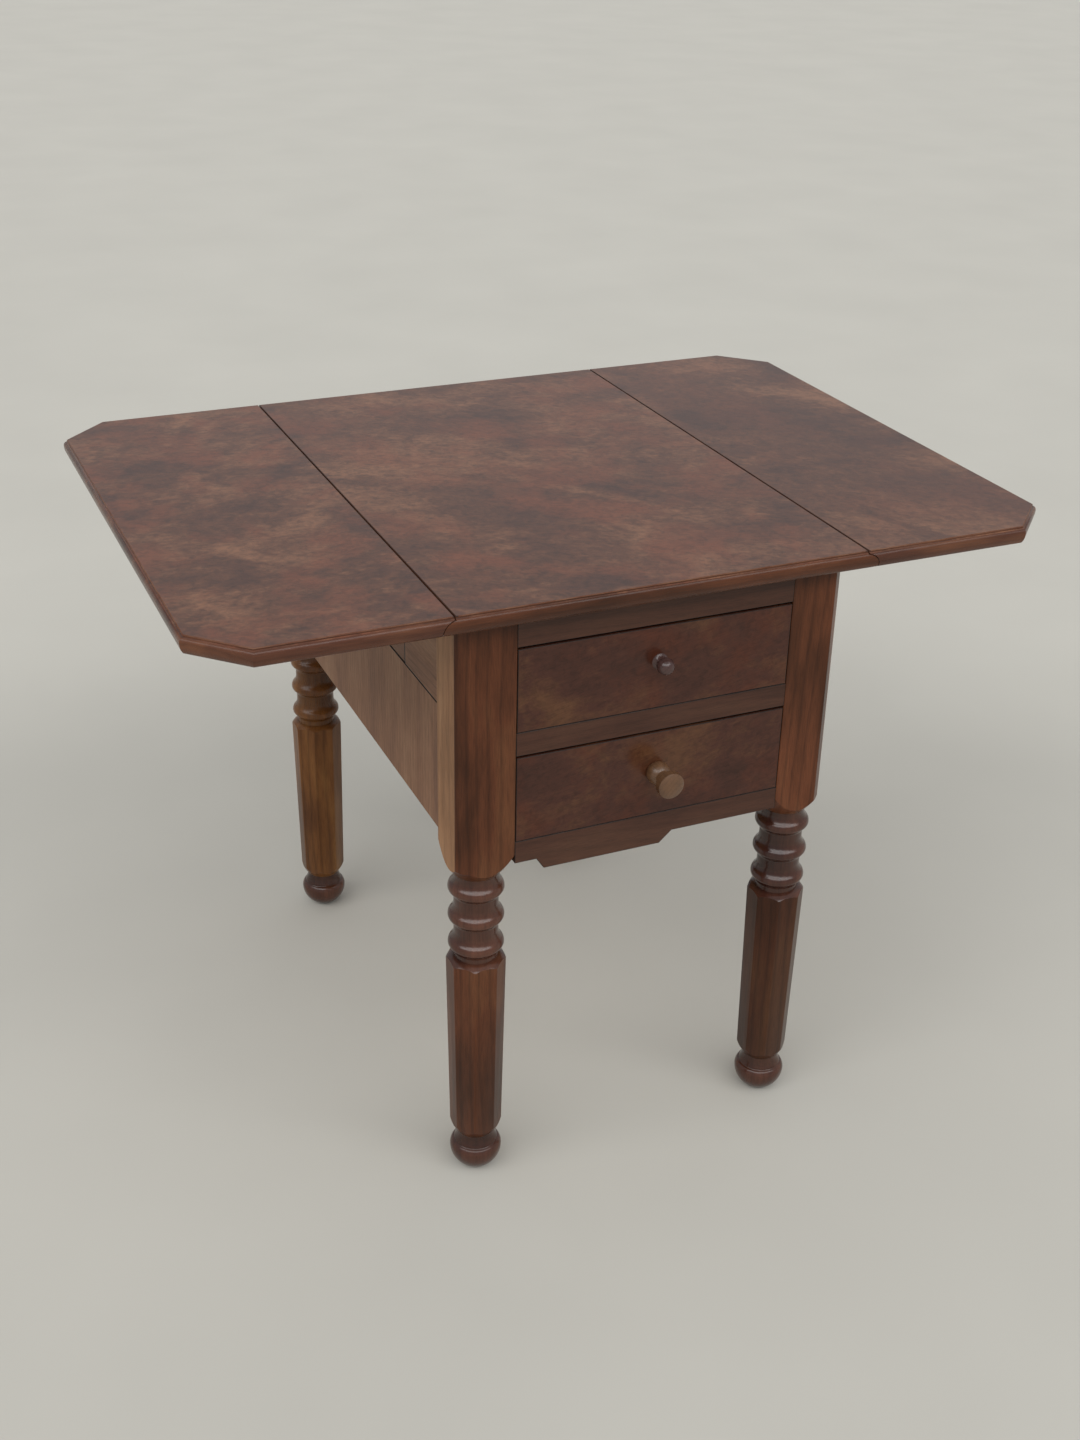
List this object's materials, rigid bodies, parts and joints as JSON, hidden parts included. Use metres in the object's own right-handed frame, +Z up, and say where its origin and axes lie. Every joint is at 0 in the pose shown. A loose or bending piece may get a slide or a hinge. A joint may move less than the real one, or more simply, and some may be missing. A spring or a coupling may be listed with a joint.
{
  "type": "drop-leaf table",
  "caption": "Wooden table with hinged leaves with clipped corners that drop at the sides, swing-out leaf brackets, stacked drawers with turned knobs and turned octagonal legs.",
  "frame": {"origin": "on the floor, under the middle of the table's overall box", "axes": "+X to the right along the open leaves, -Y out of the drawer fronts, +Z up"},
  "size_m": [0.9882, 0.7366, 0.74],
  "materials": {
    "top_wood": "worn semi-gloss polish",
    "front_wood": "semi-gloss polish",
    "case_wood": "satin polish",
    "leg_wood": "semi-gloss polish",
    "inner_wood": "bare planed wood",
    "dark_knob_wood": "semi-gloss polish",
    "pale_knob_wood": "semi-gloss polish",
    "hinge_iron": "dark, rubbed",
    "screw_steel": "dull"
  },
  "bodies": {
    "table": {"top_board": "top_wood", "front_top_rail": "case_wood", "front_middle_rail": "case_wood", "front_bottom_rail": "case_wood", "back_panel": "case_wood", "side_panel_left": "case_wood", "side_panel_right": "case_wood", "fly_rail_front_left": "case_wood", "fly_rail_front_right": "case_wood", "fly_rail_rear_left": "case_wood", "fly_rail_rear_right": "case_wood", "leg_front_left": "leg_wood", "leg_front_right": "leg_wood", "leg_back_left": "leg_wood", "leg_back_right": "leg_wood", "inner_side_rail_left": "inner_wood", "inner_side_rail_right": "inner_wood", "upper_drawer_runners": "inner_wood", "lower_drawer_runners": "inner_wood", "drawer_guides": "inner_wood", "drawer_kickers": "inner_wood", "drawer_stops": "inner_wood", "glue_blocks": "inner_wood", "hinge_top_plates_left": "hinge_iron", "hinge_top_plates_right": "hinge_iron", "hinge_pins_left": "hinge_iron", "hinge_pins_right": "hinge_iron", "bracket_pin_left": "hinge_iron", "bracket_pin_right": "hinge_iron", "hinge_top_screws": "screw_steel"},
    "leaf_left_body": {"leaf_left": "top_wood", "hinge_leaf_plates_left": "hinge_iron", "hinge_leaf_screws_left": "screw_steel"},
    "bracket_left_body": {"fly_bracket_left": "case_wood"},
    "leaf_right_body": {"leaf_right": "top_wood", "hinge_leaf_plates_right": "hinge_iron", "hinge_leaf_screws_right": "screw_steel"},
    "bracket_right_body": {"fly_bracket_right": "case_wood"},
    "drawer_upper_body": {"drawer_upper_front": "front_wood", "drawer_upper_side_left": "inner_wood", "drawer_upper_side_right": "inner_wood", "drawer_upper_back": "inner_wood", "drawer_upper_bottom": "inner_wood", "drawer_upper_knob": "dark_knob_wood"},
    "drawer_lower_body": {"drawer_lower_front": "front_wood", "drawer_lower_side_left": "inner_wood", "drawer_lower_side_right": "inner_wood", "drawer_lower_back": "inner_wood", "drawer_lower_bottom": "inner_wood", "drawer_lower_knob": "pale_knob_wood"}
  },
  "joints": [
    {"name": "leaf_left_drop", "type": "hinge", "parent": "table", "child": "leaf_left_body", "pos_m": [-0.235, 0.00925, 0.723], "axis": [0, -1, 0], "range_deg": [0, 90]},
    {"name": "leaf_right_drop", "type": "hinge", "parent": "table", "child": "leaf_right_body", "pos_m": [0.235, 0.00925, 0.723], "axis": [0, 1, 0], "range_deg": [0, 90]},
    {"name": "bracket_left_swing", "type": "hinge", "parent": "table", "child": "bracket_left_body", "pos_m": [-0.2135, 0.06925, 0.66], "axis": [0, 0, 1], "range_deg": [-90, 0]},
    {"name": "bracket_right_swing", "type": "hinge", "parent": "table", "child": "bracket_right_body", "pos_m": [0.2135, 0.06925, 0.66], "axis": [0, 0, -1], "range_deg": [-90, 0]},
    {"name": "drawer_upper_slide", "type": "slide", "parent": "table", "child": "drawer_upper_body", "axis": [0, -1, 0], "range_m": [0, 0.4]},
    {"name": "drawer_lower_slide", "type": "slide", "parent": "table", "child": "drawer_lower_body", "axis": [0, -1, 0], "range_m": [0, 0.4]}
  ]
}
